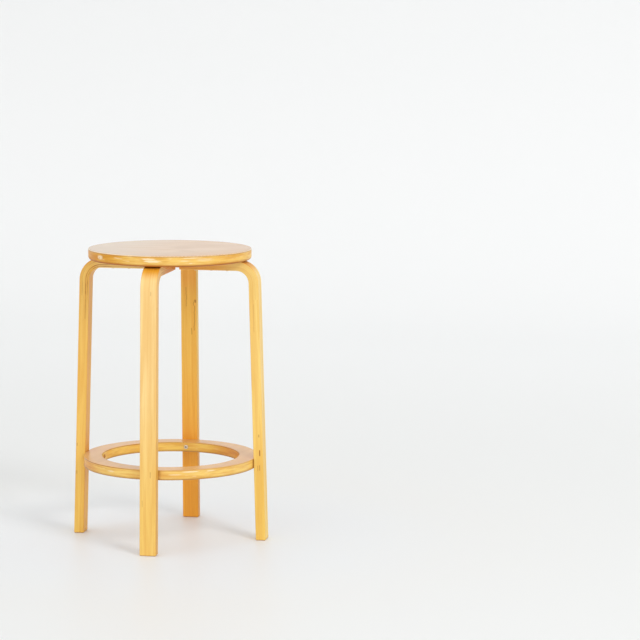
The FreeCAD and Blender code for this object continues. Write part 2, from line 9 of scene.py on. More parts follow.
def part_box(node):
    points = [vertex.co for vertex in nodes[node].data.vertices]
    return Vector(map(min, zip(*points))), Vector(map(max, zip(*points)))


# A stacking stool of lacquered birch: materials, floor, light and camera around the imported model.
# Lengths are in metres. The origin is on the floor under the middle of the seat, with +Z up. An
# azimuth is in degrees from +X, toward +Y.

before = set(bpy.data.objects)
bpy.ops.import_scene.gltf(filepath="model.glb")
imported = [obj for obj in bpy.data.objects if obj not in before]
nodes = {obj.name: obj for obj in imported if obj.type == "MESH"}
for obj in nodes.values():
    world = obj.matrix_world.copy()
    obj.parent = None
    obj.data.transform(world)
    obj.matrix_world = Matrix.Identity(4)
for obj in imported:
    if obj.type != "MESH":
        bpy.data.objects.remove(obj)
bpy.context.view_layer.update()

# Sizes that a box can't tell: the bend of the legs, the slots sawn in them, the veneers and the
# heads of the pins and screws.
MM = 0.001
LEG_LEAN = math.radians(1.7)
BEND_RADIUS = 50 * MM
LEG_THICKNESS = 22 * MM
SLOT_COUNT = 5
SLOT_WIDTH = 1.6 * MM
SLOT_RUN = 35 * MM
FACE_VENEER = 1.5 * MM
RING_PLY = 1.45 * MM
BRAD_SPACING = 11 * MM
SOCKET_RADIUS = 1.75 * MM
HEAD_RADIUS = 4.1 * MM
LEGS = {"right": 0, "back": 90, "left": 180, "front": 270}

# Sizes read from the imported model.
SEAT_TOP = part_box("seat_top_veneer")[1].z
SEAT_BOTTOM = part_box("seat_edge_band")[0].z
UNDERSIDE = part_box("right_leg")[1].z
FOOT_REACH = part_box("right_leg")[1].x
LEG_HALF_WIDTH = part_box("right_leg")[1].y
BEND_HEIGHT = UNDERSIDE - BEND_RADIUS
BEND_REACH = FOOT_REACH - BEND_HEIGHT * math.tan(LEG_LEAN) - BEND_RADIUS / math.cos(LEG_LEAN)
TONGUE = (LEG_THICKNESS - SLOT_COUNT * SLOT_WIDTH) / (SLOT_COUNT + 1)
SLOT_PITCH = TONGUE + SLOT_WIDTH
FIRST_SLOT = TONGUE + SLOT_WIDTH / 2
RING_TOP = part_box("footrest_top_veneer")[1].z
RING_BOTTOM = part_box("footrest_bottom_veneer")[0].z


def colour(red, green, blue):
    """A colour given as it looks on screen, 0 to 255, as the linear values that nodes take."""
    linear = []
    for value in (red, green, blue):
        value /= 255
        linear.append(value / 12.92 if value <= 0.04045 else ((value + 0.055) / 1.055) ** 2.4)
    return (*linear, 1.0)


# Tones that several pieces share. STREAK and FIBRE multiply a colour where the grain is denser.
STREAK = colour(240, 218, 180)
FIBRE = colour(224, 192, 150)
# The glue brown below also paints the contact shadow under the feet.
GLUE_AND_SHADOW = colour(176, 98, 12)
EDGE_GLUE = colour(165, 98, 30)
# The cream below colours pale flecks in the grain, and also the painted highlights on the band and
# the ring.
FLECK_AND_HIGHLIGHT = colour(255, 232, 190)

# The lacquer, and how deep the fibres lie in it.
COAT_ROUGHNESS = 0.14
COAT_IOR = 1.5
FIBRE_DEPTH = 0.02 * MM


class Graph:
    """Adds nodes to a material or a world. An input is a number, a tuple or a node's output."""

    def __init__(self, holder):
        self.holder = holder
        self.holder.use_nodes = True
        self.tree = holder.node_tree
        self.tree.nodes.clear()

    def add(self, kind, inputs=(), **settings):
        node = self.tree.nodes.new(kind)
        for key, value in settings.items():
            setattr(node, key, value)
        for key, value in dict(inputs).items():
            if isinstance(value, bpy.types.NodeSocket):
                self.tree.links.new(value, node.inputs[key])
            else:
                node.inputs[key].default_value = value
        return node

    def math(self, operation, *values):
        return self.add("ShaderNodeMath", enumerate(values), operation=operation).outputs[0]

    def plus(self, first, second):
        return self.math("ADD", first, second)

    def minus(self, first, second):
        return self.math("SUBTRACT", first, second)

    def times(self, *factors):
        """The product of numbers or masks."""
        product = factors[0]
        for factor in factors[1:]:
            product = self.math("MULTIPLY", product, factor)
        return product

    def distance(self, x, y):
        """How far a point lies from the origin of two coordinates."""
        return self.math("SQRT", self.plus(self.times(x, x), self.times(y, y)))

    def place(self):
        """The three coordinates of a point of the part."""
        place = self.add("ShaderNodeTexCoord").outputs["Object"]
        return self.add("ShaderNodeSeparateXYZ", {0: place}).outputs

    def facing_up(self):
        """0 on an upright face, 1 on a level one."""
        normal = self.add("ShaderNodeNewGeometry").outputs["Normal"]
        parts = self.add("ShaderNodeSeparateXYZ", {0: normal}).outputs
        return self.math("ABSOLUTE", parts[2])

    def turned(self, x, y, azimuth):
        """How far a place lies out along an azimuth, and to the left of it."""
        turn = math.radians(azimuth)
        ahead = (math.cos(turn), math.sin(turn))
        outward = self.plus(self.times(x, ahead[0]), self.times(y, ahead[1]))
        across = self.minus(self.times(y, ahead[0]), self.times(x, ahead[1]))
        return outward, across

    def scaled(self, x, y, z, per_x, per_y, per_z):
        """Coordinates for a texture, with that many repeats to the metre along each."""
        return self.add("ShaderNodeCombineXYZ", {
            0: self.times(x, per_x),
            1: self.times(y, per_y),
            2: self.times(z, per_z),
        }).outputs[0]

    def noise(self, vector, detail, roughness, distortion, seed):
        """Smooth noise from 0 to 1, with one feature to each unit of the vector."""
        return self.add("ShaderNodeTexNoise", {
            "Vector": vector,
            "W": seed,
            "Scale": 1.0,
            "Detail": detail,
            "Roughness": roughness,
            "Distortion": distortion,
        }, noise_dimensions="4D").outputs["Fac"]

    def swing(self, noise, reach):
        """Noise turned into a swing of up to reach to both sides of 0."""
        return self.times(self.minus(noise, 0.5), 2 * reach)

    def step(self, value, low, high, to_low=0.0, to_high=1.0):
        """A smooth step as value goes from low to high."""
        return self.add("ShaderNodeMapRange", {
            "Value": value,
            "From Min": low,
            "From Max": high,
            "To Min": to_low,
            "To Max": to_high,
        }, interpolation_type="SMOOTHSTEP").outputs["Result"]

    def band(self, value, centre, half, soft):
        """1 within half of the centre, fading to 0 over soft."""
        away = self.math("ABSOLUTE", self.minus(value, centre))
        return self.step(away, half, half + soft, 1.0, 0.0)

    def patch(self, across, up, reach, rise, ragged, seed):
        """A spot with a ragged rim, drawn out level: 1 in its middle, 0 outside it."""
        away = self.distance(self.math("DIVIDE", across, reach), self.math("DIVIDE", up, rise))
        rim = self.noise(self.scaled(across, up, 0.0, 110, 700, 1), 3, 0.6, 0.0, seed)
        return self.step(self.plus(away, self.swing(rim, ragged)), 0.55, 1.05, 1.0, 0.0)

    def mix(self, factor, first, second, blend="MIX"):
        return self.add("ShaderNodeMix", {
            "Factor": factor,
            "A": first,
            "B": second,
        }, data_type="RGBA", blend_type=blend).outputs["Result"]

    def deepen(self, factor, base, tone):
        """Base multiplied by a tone, as far as factor says."""
        return self.mix(factor, base, tone, "MULTIPLY")

    def finish(self, shader):
        self.add("ShaderNodeOutputMaterial", {"Surface": shader.outputs["BSDF"]})
        return self.holder

    def lacquered(self, base, fibres, roughness, coat, specular=0.5):
        """Finish the material: wood under a clear lacquer, with a fine bump."""
        bump = self.add("ShaderNodeBump", {
            "Strength": 1.0,
            "Distance": FIBRE_DEPTH,
            "Height": fibres,
        })
        return self.finish(self.add("ShaderNodeBsdfPrincipled", {
            "Base Color": base,
            "Roughness": roughness,
            "Specular IOR Level": specular,
            "Normal": bump.outputs["Normal"],
            "Coat Weight": coat,
            "Coat Roughness": COAT_ROUGHNESS,
            "Coat IOR": COAT_IOR,
        }))


def new_material(name):
    """The graph of a new material."""
    return Graph(bpy.data.materials.new(name))


def dress(material, *names):
    """Give CAD nodes a material in all their slots."""
    for name in names:
        mesh = nodes[name].data
        if not mesh.materials:
            mesh.materials.append(material)
        for index in range(len(mesh.materials)):
            mesh.materials[index] = material


# Legs: the grain follows the strip round its bend.

class LegLooks(NamedTuple):
    """What sets one leg's looks apart. A number says how far a tone is taken, from 0 to 1."""

    high: tuple       # colour near the seat
    low: tuple        # colour at the foot
    inner: tuple      # painted shade: what the inner face's colour is multiplied by
    stain: float      # glue at the knee
    flank_shade: float      # painted shade on the side faces
    knee: float       # painted shade on the inner face near the bend
    arm: float        # painted shade on the arm
    arm_painted_light: float   # painted light on the arm
    contact_shadow: float    # painted contact shadow in the line against the seat


# The back leg's deeper colours are partly painted shade, as it stands in the seat's shade.
LEG_LOOKS = {
    "front": LegLooks(
        high=colour(254, 219, 149), low=colour(247, 205, 110), inner=colour(248, 240, 228),
        stain=0.6, flank_shade=1.0, knee=0.0, arm=1.0, arm_painted_light=0.0, contact_shadow=0.9,
    ),
    "left": LegLooks(
        high=colour(252, 207, 108), low=colour(251, 203, 96), inner=colour(244, 226, 186),
        stain=1.0, flank_shade=0.0, knee=0.0, arm=0.0, arm_painted_light=0.7, contact_shadow=0.0,
    ),
    "right": LegLooks(
        high=colour(254, 220, 132), low=colour(252, 213, 108), inner=colour(248, 240, 228),
        stain=0.12, flank_shade=0.0, knee=0.0, arm=0.8, arm_painted_light=0.15, contact_shadow=0.5,
    ),
    "back": LegLooks(
        high=colour(255, 220, 110), low=colour(252, 188, 64), inner=colour(253, 238, 226),
        stain=0.6, flank_shade=1.0, knee=1.0, arm=1.0, arm_painted_light=0.0, contact_shadow=0.8,
    ),
}

# The heights between which a leg's colour changes: painted shade deepens it toward the foot.
LOW_TONE = 0.05
HIGH_TONE = 0.45

# Painted shade that multiplies a leg's colour: where its outer face turns in under the seat, on its
# arm, on its inner face near the bend and on its side faces.
TURNED_IN_SHADE = colour(238, 198, 84)
ARM_SHADE = colour(246, 200, 112)
KNEE_SHADE = colour(255, 238, 240)
FLANK_SHADE = colour(240, 226, 188)

# Tones that cover it: painted light on the arm, a painted shadow against the seat, and marks.
ARM_PAINTED_LIGHT = colour(255, 226, 150)
CONTACT_SHADOW = colour(104, 44, 6)
MARK = colour(172, 108, 36)

# How strong the glue is at each ply, from the outer one to the inner one.
GLUE_STRENGTH = {1: 0.15, 2: 0.55, 3: 0.15, 4: 1.0, 5: 1.0}

# Small marks on each leg: how far across the face, top, bottom, width, sway and strength. They are
# on the side faces of the side legs, measured from the outer face, and otherwise on the outer face
# of the front leg and the inner face of the back leg, measured from the middle.
MARKS = {
    "right": (
        (7.2 * MM, 0.2030, 0.1930, 1.6 * MM, 0.2 * MM, 1.0),
        (8.3 * MM, 0.1690, 0.1600, 1.2 * MM, 0.2 * MM, 0.5),
        (12.7 * MM, 0.1680, 0.1590, 1.2 * MM, 0.2 * MM, 0.35),
        (8.4 * MM, 0.2380, 0.2350, 2.0 * MM, 0.0, 0.45),
        (12.5 * MM, 0.5300, 0.4700, 1.0 * MM, 1.0 * MM, 0.2),
    ),
    "left": (
        (3.0 * MM, 0.2050, 0.2010, 1.5 * MM, 0.0, 0.4),
        (3.4 * MM, 0.1420, 0.1370, 1.5 * MM, 0.0, 0.4),
        (14.9 * MM, 0.5300, 0.4900, 1.2 * MM, 0.4 * MM, 0.3),
    ),
    "front": (
        (5.5 * MM, 0.5740, 0.5680, 1.0 * MM, 0.8 * MM, 0.3),
        (5.6 * MM, 0.1830, 0.1730, 1.0 * MM, 0.4 * MM, 0.4),
        (-12.0 * MM, 0.1200, 0.1090, 1.4 * MM, 1.5 * MM, 0.25),
    ),
    "back": (
        (5.5 * MM, 0.5400, 0.4980, 0.9 * MM, 3.0 * MM, 0.5),
        (-13.0 * MM, 0.5110, 0.4420, 0.9 * MM, 4.0 * MM, 0.6),
        (-16.0 * MM, 0.5110, 0.5070, 2.2 * MM, 0.0, 0.8),
        (-7.0 * MM, 0.4450, 0.4330, 1.2 * MM, 2.0 * MM, 0.5),
    ),
}


def strip_coordinates(graph, azimuth):
    """Across, into and along a bent leg: along is 0 where the bend starts and falls below it."""
    x, y, z = graph.place()
    outward, across = graph.turned(x, y, azimuth)
    below = graph.math("MAXIMUM", graph.minus(BEND_HEIGHT, z), 0.0)
    upright = graph.minus(outward, graph.times(below, math.tan(LEG_LEAN)))
    out = graph.minus(upright, BEND_REACH)
    up = graph.minus(z, BEND_HEIGHT)
    out_part = graph.math("MAXIMUM", out, 0.0)
    up_part = graph.math("MAXIMUM", up, 0.0)
    depth = graph.minus(BEND_RADIUS, graph.distance(out_part, up_part))
    swept = graph.times(graph.math("ARCTAN2", up_part, out_part), BEND_RADIUS - LEG_THICKNESS / 2)
    along = graph.plus(graph.math("MINIMUM", up, 0.0), swept)
    along = graph.minus(along, graph.math("MINIMUM", out, 0.0))
    return across, depth, along


def birch(graph, across, depth, along, base, seed):
    """Long grain: broad tone, streaks, fibres and a few dark pores. Returns colour and height."""
    broad = graph.noise(graph.scaled(across, depth, along, 90, 90, 4), 2, 0.5, 0.4, seed)
    streaks = graph.noise(graph.scaled(across, depth, along, 330, 330, 7), 3, 0.55, 0.2, seed + 3)
    fibres = graph.noise(graph.scaled(across, depth, along, 1900, 1900, 45), 2, 0.6, 0.0, seed + 7)
    pores = graph.noise(graph.scaled(across, depth, along, 900, 900, 70), 1, 0.5, 0.0, seed + 11)
    dark = graph.deepen(1.0, base, STREAK)
    deep = graph.deepen(1.0, base, FIBRE)
    base = graph.mix(graph.step(broad, 0.36, 0.64, 0.0, 0.6), base, dark)
    base = graph.mix(graph.step(streaks, 0.46, 0.72, 0.0, 0.6), base, dark)
    base = graph.mix(graph.step(fibres, 0.52, 0.80, 0.0, 0.4), base, deep)
    base = graph.mix(graph.step(pores, 0.70, 0.80, 0.0, 0.5), base, deep)
    return base, fibres


def leg_tone(graph, looks):
    """The leg's colour, which painted shade deepens toward the foot."""
    z = graph.place()[2]
    return graph.mix(graph.step(z, LOW_TONE, HIGH_TONE, 1.0, 0.0), looks.high, looks.low)


def under_the_seat(graph, looks, base, depth, along):
    """Painted shade where the outer face turns in and on the arm, painted light on the arm, and a
    painted contact shadow at the seat.
    """
    outer = graph.step(depth, 0.5 * MM, 2.5 * MM, 1.0, 0.0)
    # Painted shade where the outer face turns in under the seat.
    turned_in_shade = graph.times(outer, graph.step(along, 16 * MM, 38 * MM))
    base = graph.deepen(turned_in_shade, base, TURNED_IN_SHADE)
    # Painted shade on the arm, under the seat.
    base = graph.deepen(graph.step(along, 55 * MM, 120 * MM, 0.0, looks.arm), base, ARM_SHADE)
    # Painted light: the arm is made paler.
    base = graph.mix(graph.step(along, 35 * MM, 70 * MM, 0.0, looks.arm_painted_light), base, ARM_PAINTED_LIGHT)
    # Painted contact shadow in the line against the seat.
    contact_shadow = graph.times(
        graph.step(along, 42 * MM, 54 * MM),
        graph.step(depth, 0.2 * MM, 1.1 * MM, 1.0, 0.0),
        looks.contact_shadow,
    )
    return graph.mix(contact_shadow, base, CONTACT_SHADOW)


def marks(graph, side, across, depth):
    """The marks of one leg, each a short wavering line up and down its face."""
    z = graph.place()[2]
    where, toward_face, face = {
        "right": (depth, graph.times(across, -1.0), LEG_HALF_WIDTH),
        "left": (depth, across, LEG_HALF_WIDTH),
        "front": (across, graph.times(depth, -1.0), 0.0),
        "back": (across, depth, LEG_THICKNESS),
    }[side]
    on_face = graph.step(toward_face, face - 3 * MM, face - 1 * MM)
    total = 0.0
    for index, (place, top, bottom, width, sway, strength) in enumerate(MARKS[side]):
        drift = graph.noise(graph.scaled(0.0, 0.0, z, 1, 1, 75), 1, 0.5, 0.0, index + 40.5)
        straight = graph.minus(where, graph.swing(drift, sway))
        line = graph.band(straight, place, width / 2, 0.9 * MM)
        span = graph.band(z, (top + bottom) / 2, (top - bottom) / 2, 3 * MM)
        total = graph.math("MAXIMUM", total, graph.times(line, span, strength))
    return graph.times(total, on_face)


def leg_wood(side, azimuth):
    """Solid birch of one leg, with glue stains beside the slots."""
    graph = new_material(f"{side}_leg_birch")
    looks = LEG_LOOKS[side]
    across, depth, along = strip_coordinates(graph, azimuth)
    tone = leg_tone(graph, looks)
    base, fibres = birch(graph, across, depth, along, tone, azimuth / 10)

    slot = graph.math("ROUND", graph.math("DIVIDE", graph.minus(depth, FIRST_SLOT), SLOT_PITCH))
    slot = graph.math("MINIMUM", graph.math("MAXIMUM", slot, 0.0), SLOT_COUNT - 1.0)
    centre = graph.plus(graph.times(slot, SLOT_PITCH), FIRST_SLOT)
    broken = graph.noise(graph.scaled(across, depth, along, 1, 300, 55), 1, 0.5, 0.0, azimuth / 9)
    stain = graph.times(
        graph.band(depth, centre, SLOT_WIDTH / 2, 0.4 * MM),
        graph.step(along, -SLOT_RUN - 70 * MM, -SLOT_RUN + 8 * MM),
        graph.step(slot, 1.6, 3.2, 0.12, 0.5),
        graph.step(along, 50 * MM, 75 * MM, 1.0, 0.1),
        graph.step(broken, 0.35, 0.6, 0.5, 1.0),
        looks.stain,
    )
    base = graph.mix(stain, base, GLUE_AND_SHADOW)

    # Painted shade on the inner face.
    inner = graph.step(depth, LEG_THICKNESS - 0.8 * MM, LEG_THICKNESS - 0.2 * MM, 0.0, 0.8)
    base = graph.deepen(inner, base, looks.inner)
    # Painted shade on the inner face near the bend, under the seat.
    knee = graph.times(inner, graph.step(along, -60 * MM, -10 * MM, 0.0, looks.knee))
    base = graph.deepen(knee, base, KNEE_SHADE)
    # Painted shade on the side faces.
    aside = graph.math("ABSOLUTE", across)
    flank_shade = graph.step(aside, LEG_HALF_WIDTH - 0.8 * MM, LEG_HALF_WIDTH - 0.2 * MM, 0.0, looks.flank_shade)
    base = graph.deepen(flank_shade, base, FLANK_SHADE)
    base = under_the_seat(graph, looks, base, depth, along)
    base = graph.mix(marks(graph, side, across, depth), base, MARK)
    # Painted contact shadow: a dark line along the bottom of the foot.
    foot = graph.step(graph.place()[2], 0.3 * MM, 2.2 * MM, 0.8, 0.0)
    base = graph.mix(foot, base, GLUE_AND_SHADOW)
    return graph.lacquered(base, fibres, 0.45, coat=0.1, specular=0.35)


def ply_wood(side, azimuth, number):
    """Birch veneer in a slot, with dark glue at its faces that is thinner round the bend."""
    graph = new_material(f"{side}_leg_ply_{number}_birch")
    looks = LEG_LOOKS[side]
    across, depth, along = strip_coordinates(graph, azimuth)
    tone = leg_tone(graph, looks)
    base, fibres = birch(graph, across, depth, along, tone, azimuth / 10 + number)
    # Painted shade and light under the seat, as on the leg.
    base = under_the_seat(graph, looks, base, depth, along)

    centre = FIRST_SLOT + (number - 1) * SLOT_PITCH
    away = graph.math("ABSOLUTE", graph.minus(depth, centre))
    strength = GLUE_STRENGTH[number] * looks.stain
    broken = graph.noise(graph.scaled(across, depth, along, 1, 1, 60), 1, 0.5, 0.0, number + 0.5)
    bend = graph.band(along, 18 * MM, 14 * MM, 14 * MM)
    glue = graph.times(
        graph.step(away, 0.1 * MM, 0.6 * MM, 0.75 * strength, strength),
        graph.step(broken, 0.35, 0.6, 0.6, 1.0),
        graph.step(along, -SLOT_RUN, -SLOT_RUN + 8 * MM, 0.6, 1.0),
        graph.minus(1.0, graph.times(bend, 0.5)),
        graph.step(along, 60 * MM, 100 * MM, 1.0, 0.35),
    )
    base = graph.mix(glue, base, GLUE_AND_SHADOW)
    return graph.lacquered(base, fibres, 0.45, coat=0.1, specular=0.35)


for side, azimuth in LEGS.items():
    dress(leg_wood(side, azimuth), f"{side}_leg")
    for number in range(1, SLOT_COUNT + 1):
        dress(ply_wood(side, azimuth, number), f"{side}_leg_ply_{number}")


# Seat and footrest: flat veneers, the bent band and the plywood of the ring.

SEAT_LIGHT = colour(226, 182, 134)
SEAT_DARK = colour(212, 162, 110)
SEAT_WORN = colour(200, 154, 104)
SEAT_GOLDEN = colour(218, 156, 76)
SEAT_REFLECTION = colour(218, 190, 158)
SEAT_EDGE_HIGHLIGHT = colour(255, 228, 178)
CORE_LIGHT = colour(228, 190, 135)
CORE_DARK = colour(205, 160, 105)

# The band's colour at its left end, on its left, in its middle and at its right end.
# The deeper colours on the left are painted shade, on the side away from the lamp.
BAND_LEFT_END_SHADE = colour(230, 166, 64)
BAND_LEFT_SHADE = colour(234, 174, 62)
BAND_MIDDLE = colour(247, 205, 112)
BAND_RIGHT_END = colour(248, 204, 108)
# Painted shade on the band's lower rounded edge.
BAND_RIM_SHADE = colour(172, 84, 4)

# Painted highlights on the band: azimuth, height, half length, half height and strength.
BAND_HIGHLIGHTS = (
    (-92, 0.6432, 19 * MM, 2.2 * MM, 0.85),
    (-89, 0.6385, 22 * MM, 2.8 * MM, 0.95),
    (-67, 0.6395, 13 * MM, 1.4 * MM, 0.6),
    (-62, 0.6455, 24 * MM, 1.6 * MM, 0.6),
    (-52, 0.6410, 24 * MM, 4.5 * MM, 0.35),
    (-134, 0.6395, 12 * MM, 5.5 * MM, 0.8),
)

RING_FACE_LIGHT = colour(232, 179, 104)
RING_FACE_DARK = colour(217, 157, 82)
RING_PLIES = colour(250, 210, 114)
RING_VENEER_EDGE = colour(248, 204, 106)

# Painted shade that multiplies the ring's colour: inside it, on the right there, and at its left
# end.
RING_INSIDE_SHADE = colour(255, 252, 226)
RING_INSIDE_RIGHT_SHADE = colour(236, 200, 150)
RING_LEFT_END_SHADE = colour(238, 198, 116)

# Tones that cover it: a painted contact shadow beside the legs, and painted shade along the bottom
# and on the lower rim.
RING_CONTACT_SHADOW = colour(140, 66, 0)
RING_LOW_SHADE = colour(184, 118, 30)
RING_RIM_SHADE = colour(112, 64, 12)

# Painted highlights on the ring, in the same order as the band's.
RING_HIGHLIGHTS = (
    (-64, 0.1806, 22 * MM, 1.6 * MM, 0.9),
    (-50, 0.1800, 13 * MM, 1.6 * MM, 0.8),
    (-74, 0.1750, 16 * MM, 1.6 * MM, 0.6),
    (-119, 0.1745, 12 * MM, 2.5 * MM, 0.5),
)


def flat_grain(graph, azimuth, light, dark, seed, strength=1.0):
    """Veneer peeled from a log: its grain runs level at an azimuth, in wavy figures."""
    x, y, z = graph.place()
    along, across = graph.turned(x, y, azimuth)
    figure = graph.noise(graph.scaled(across, z, along, 14, 1, 3.2), 2, 0.5, 0.8, seed)
    rings = graph.math("PINGPONG", graph.times(figure, 9.0), 1.0)
    fibres = graph.noise(graph.scaled(across, z, along, 1300, 1, 38), 3, 0.6, 0.0, seed + 5)
    dashes = graph.noise(graph.scaled(across, z, along, 700, 1, 90), 1, 0.5, 0.0, seed + 9)
    base = graph.mix(graph.step(rings, 0.15, 0.95, 0.0, 0.55 * strength), light, dark)
    base = graph.mix(graph.step(fibres, 0.45, 0.8, 0.0, 0.35 * strength), base, dark)
    deep = graph.deepen(1.0, dark, FIBRE)
    base = graph.mix(graph.step(dashes, 0.68, 0.8, 0.0, 0.6 * strength), base, deep)
    return base, fibres


def level_grain(graph, base, seed):
    """Grain that runs level round a bent or turned edge, with mottling and pale flecks."""
    x, y, z = graph.place()
    broad = graph.noise(graph.scaled(x, y, z, 14, 14, 110), 2, 0.5, 0.3, seed)
    streaks = graph.noise(graph.scaled(x, y, z, 22, 22, 420), 3, 0.6, 0.3, seed + 3)
    fibres = graph.noise(graph.scaled(x, y, z, 90, 90, 2400), 2, 0.6, 0.0, seed + 6)
    flecks = graph.noise(graph.scaled(x, y, z, 34, 34, 330), 2, 0.55, 0.6, seed + 9)
    dark = graph.deepen(1.0, base, STREAK)
    deep = graph.deepen(1.0, base, FIBRE)
    base = graph.mix(graph.step(broad, 0.38, 0.62, 0.0, 0.9), base, dark)
    base = graph.mix(graph.step(streaks, 0.5, 0.72, 0.0, 0.8), base, deep)
    base = graph.mix(graph.step(fibres, 0.5, 0.8, 0.0, 0.4), base, deep)
    base = graph.mix(graph.step(flecks, 0.60, 0.70, 0.0, 0.5), base, FLECK_AND_HIGHLIGHT)
    return base, fibres


def spot(graph, azimuth, aside, level, reach, rise, ragged, strength, seed):
    """A ragged spot on the outer side of a round piece, at an azimuth and a height."""
    x, y, z = graph.place()
    outward, across = graph.turned(x, y, azimuth)
    up = graph.minus(z, level)
    shape = graph.patch(graph.minus(across, aside), up, reach, rise, ragged, seed)
    return graph.times(shape, graph.step(outward, 0.0, 50 * MM, 0.0, strength))


def painted_highlights(graph, base, spots, first_seed):
    """The painted highlights of the band or the ring."""
    for seed, (azimuth, level, reach, rise, strength) in enumerate(spots, first_seed):
        pale = spot(graph, azimuth, 0.0, level, reach, rise, 0.6, strength, seed)
        base = graph.mix(pale, base, FLECK_AND_HIGHLIGHT)
    return base


def seat_veneer(name, azimuth, seed):
    """A face veneer of the seat: worn in places, golden at the front right, with a painted pale
    reflection on the left and a painted highlight on its edge.
    """
    graph = new_material(name)
    base, fibres = flat_grain(graph, azimuth, SEAT_LIGHT, SEAT_DARK, seed)
    x, y, z = graph.place()
    wear = graph.noise(graph.scaled(x, y, z, 9, 9, 1), 2, 0.5, 0.6, seed + 20)
    base = graph.mix(graph.step(wear, 0.5, 0.7, 0.0, 0.4), base, SEAT_WORN)
    golden = graph.step(graph.minus(x, y), 100 * MM, 260 * MM, 0.0, 0.8)
    base = graph.mix(golden, base, SEAT_GOLDEN)
    # Painted reflection: the veneer is paler on the left.
    ragged = graph.noise(graph.scaled(x, y, z, 7, 22, 1), 3, 0.6, 0.8, seed + 24)
    painted_reflection = graph.step(graph.plus(x, graph.swing(ragged, 90 * MM)), -140 * MM, 20 * MM, 0.8, 0.0)
    base = graph.mix(painted_reflection, base, SEAT_REFLECTION)
    # Painted highlight along the veneer's upright edge.
    edge = graph.step(graph.facing_up(), 0.5, 0.9, 1.0, 0.0)
    base = graph.mix(edge, base, SEAT_EDGE_HIGHLIGHT)
    return graph.lacquered(base, fibres, 0.38, coat=0.6)


def band_wood():
    """Solid birch bent round the seat: streaks that run level."""
    graph = new_material("edge_band_birch")
    x, y, z = graph.place()
    # Painted shade: the band deepens toward its left end.
    tone = graph.mix(graph.step(x, -110 * MM, -20 * MM, 1.0, 0.0), BAND_MIDDLE, BAND_LEFT_SHADE)
    tone = graph.mix(graph.step(x, -150 * MM, -110 * MM, 1.0, 0.0), tone, BAND_LEFT_END_SHADE)
    tone = graph.mix(graph.step(x, 90 * MM, 160 * MM), tone, BAND_RIGHT_END)
    base, fibres = level_grain(graph, tone, 2.0)
    # Painted highlights.
    base = painted_highlights(graph, base, BAND_HIGHLIGHTS, 0)

    low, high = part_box("seat_band_brads")
    middle = (low + high) / 2
    turn = math.degrees(math.atan2(middle.y, middle.x))
    left_pin = -BRAD_SPACING / 2
    stain = spot(graph, turn, left_pin, middle.z, 2 * MM, 1.6 * MM, 0.2, 0.75, 8)
    base = graph.mix(stain, base, GLUE_AND_SHADOW)

    veneer_line = SEAT_TOP - FACE_VENEER
    glue = graph.step(z, veneer_line - 1.6 * MM, veneer_line - 0.6 * MM, 0.0, 0.8)
    base = graph.mix(glue, base, EDGE_GLUE)
    # Painted shade on the lower rounded edge.
    rim = graph.step(z, SEAT_BOTTOM + 1.0 * MM, SEAT_BOTTOM + 7.5 * MM, 0.9, 0.0)
    base = graph.mix(rim, base, BAND_RIM_SHADE)
    return graph.lacquered(base, fibres, 0.42, coat=0.1, specular=0.2)


def ring_side(graph, base, seed):
    """Lacquered edges of crossed plies, with painted shade inside the ring, beside the legs, at its
    left end and along the bottom.
    """
    x, y, z = graph.place()
    base, fibres = level_grain(graph, base, seed)
    # Painted highlights.
    base = painted_highlights(graph, base, RING_HIGHLIGHTS, 30)
    reach = graph.distance(x, y)
    inside = graph.step(reach, 160 * MM, 170 * MM, 1.0, 0.0)
    outside = graph.step(reach, 180 * MM, 190 * MM)
    # Painted shade on the inner face, deeper on the right.
    base = graph.deepen(inside, base, RING_INSIDE_SHADE)
    inside_right_shade = graph.times(inside, graph.step(x, 40 * MM, 110 * MM))
    base = graph.deepen(inside_right_shade, base, RING_INSIDE_RIGHT_SHADE)

    # Painted contact shadow beside the legs.
    across_x = graph.math("ABSOLUTE", x)
    across_y = graph.math("ABSOLUTE", y)
    beside_leg_shadow = graph.math(
        "MAXIMUM",
        graph.step(across_x, LEG_HALF_WIDTH, LEG_HALF_WIDTH + 8 * MM, 0.5, 0.0),
        graph.step(across_y, LEG_HALF_WIDTH, LEG_HALF_WIDTH + 14 * MM, 0.8, 0.0),
    )
    base = graph.mix(graph.times(beside_leg_shadow, outside), base, RING_CONTACT_SHADOW)
    # Painted shade toward the ring's left end.
    left_end_shade = graph.times(graph.step(x, -170 * MM, -110 * MM, 0.9, 0.0), outside)
    base = graph.deepen(left_end_shade, base, RING_LEFT_END_SHADE)

    top_line = graph.band(z, RING_TOP - 1.4 * MM, 0.4 * MM, 0.9 * MM)
    top_line = graph.times(top_line, graph.step(x, -100 * MM, 20 * MM, 0.75, 0.35))
    base = graph.mix(top_line, base, EDGE_GLUE)
    # Painted shade along the bottom and on the lower rim.
    low_shade = graph.step(z, RING_BOTTOM + 0.8 * MM, RING_BOTTOM + 6.0 * MM, 0.7, 0.0)
    base = graph.mix(low_shade, base, RING_LOW_SHADE)
    rim = graph.step(z, RING_BOTTOM + 0.3 * MM, RING_BOTTOM + 2.0 * MM, 0.8, 0.0)
    return graph.mix(rim, base, RING_RIM_SHADE), fibres


def ring_core():
    """The plies in the middle of the ring, with faint glue lines between them."""
    graph = new_material("ring_plywood")
    base, fibres = ring_side(graph, RING_PLIES, 4.0)
    up = graph.minus(graph.place()[2], RING_BOTTOM)
    ply = graph.math("FRACT", graph.math("DIVIDE", up, RING_PLY))
    glue = graph.times(graph.band(ply, 0.5, 0.0, 0.14), 0.12)
    base = graph.mix(glue, base, GLUE_AND_SHADOW)
    return graph.lacquered(base, fibres, 0.42, coat=0.25, specular=0.4)


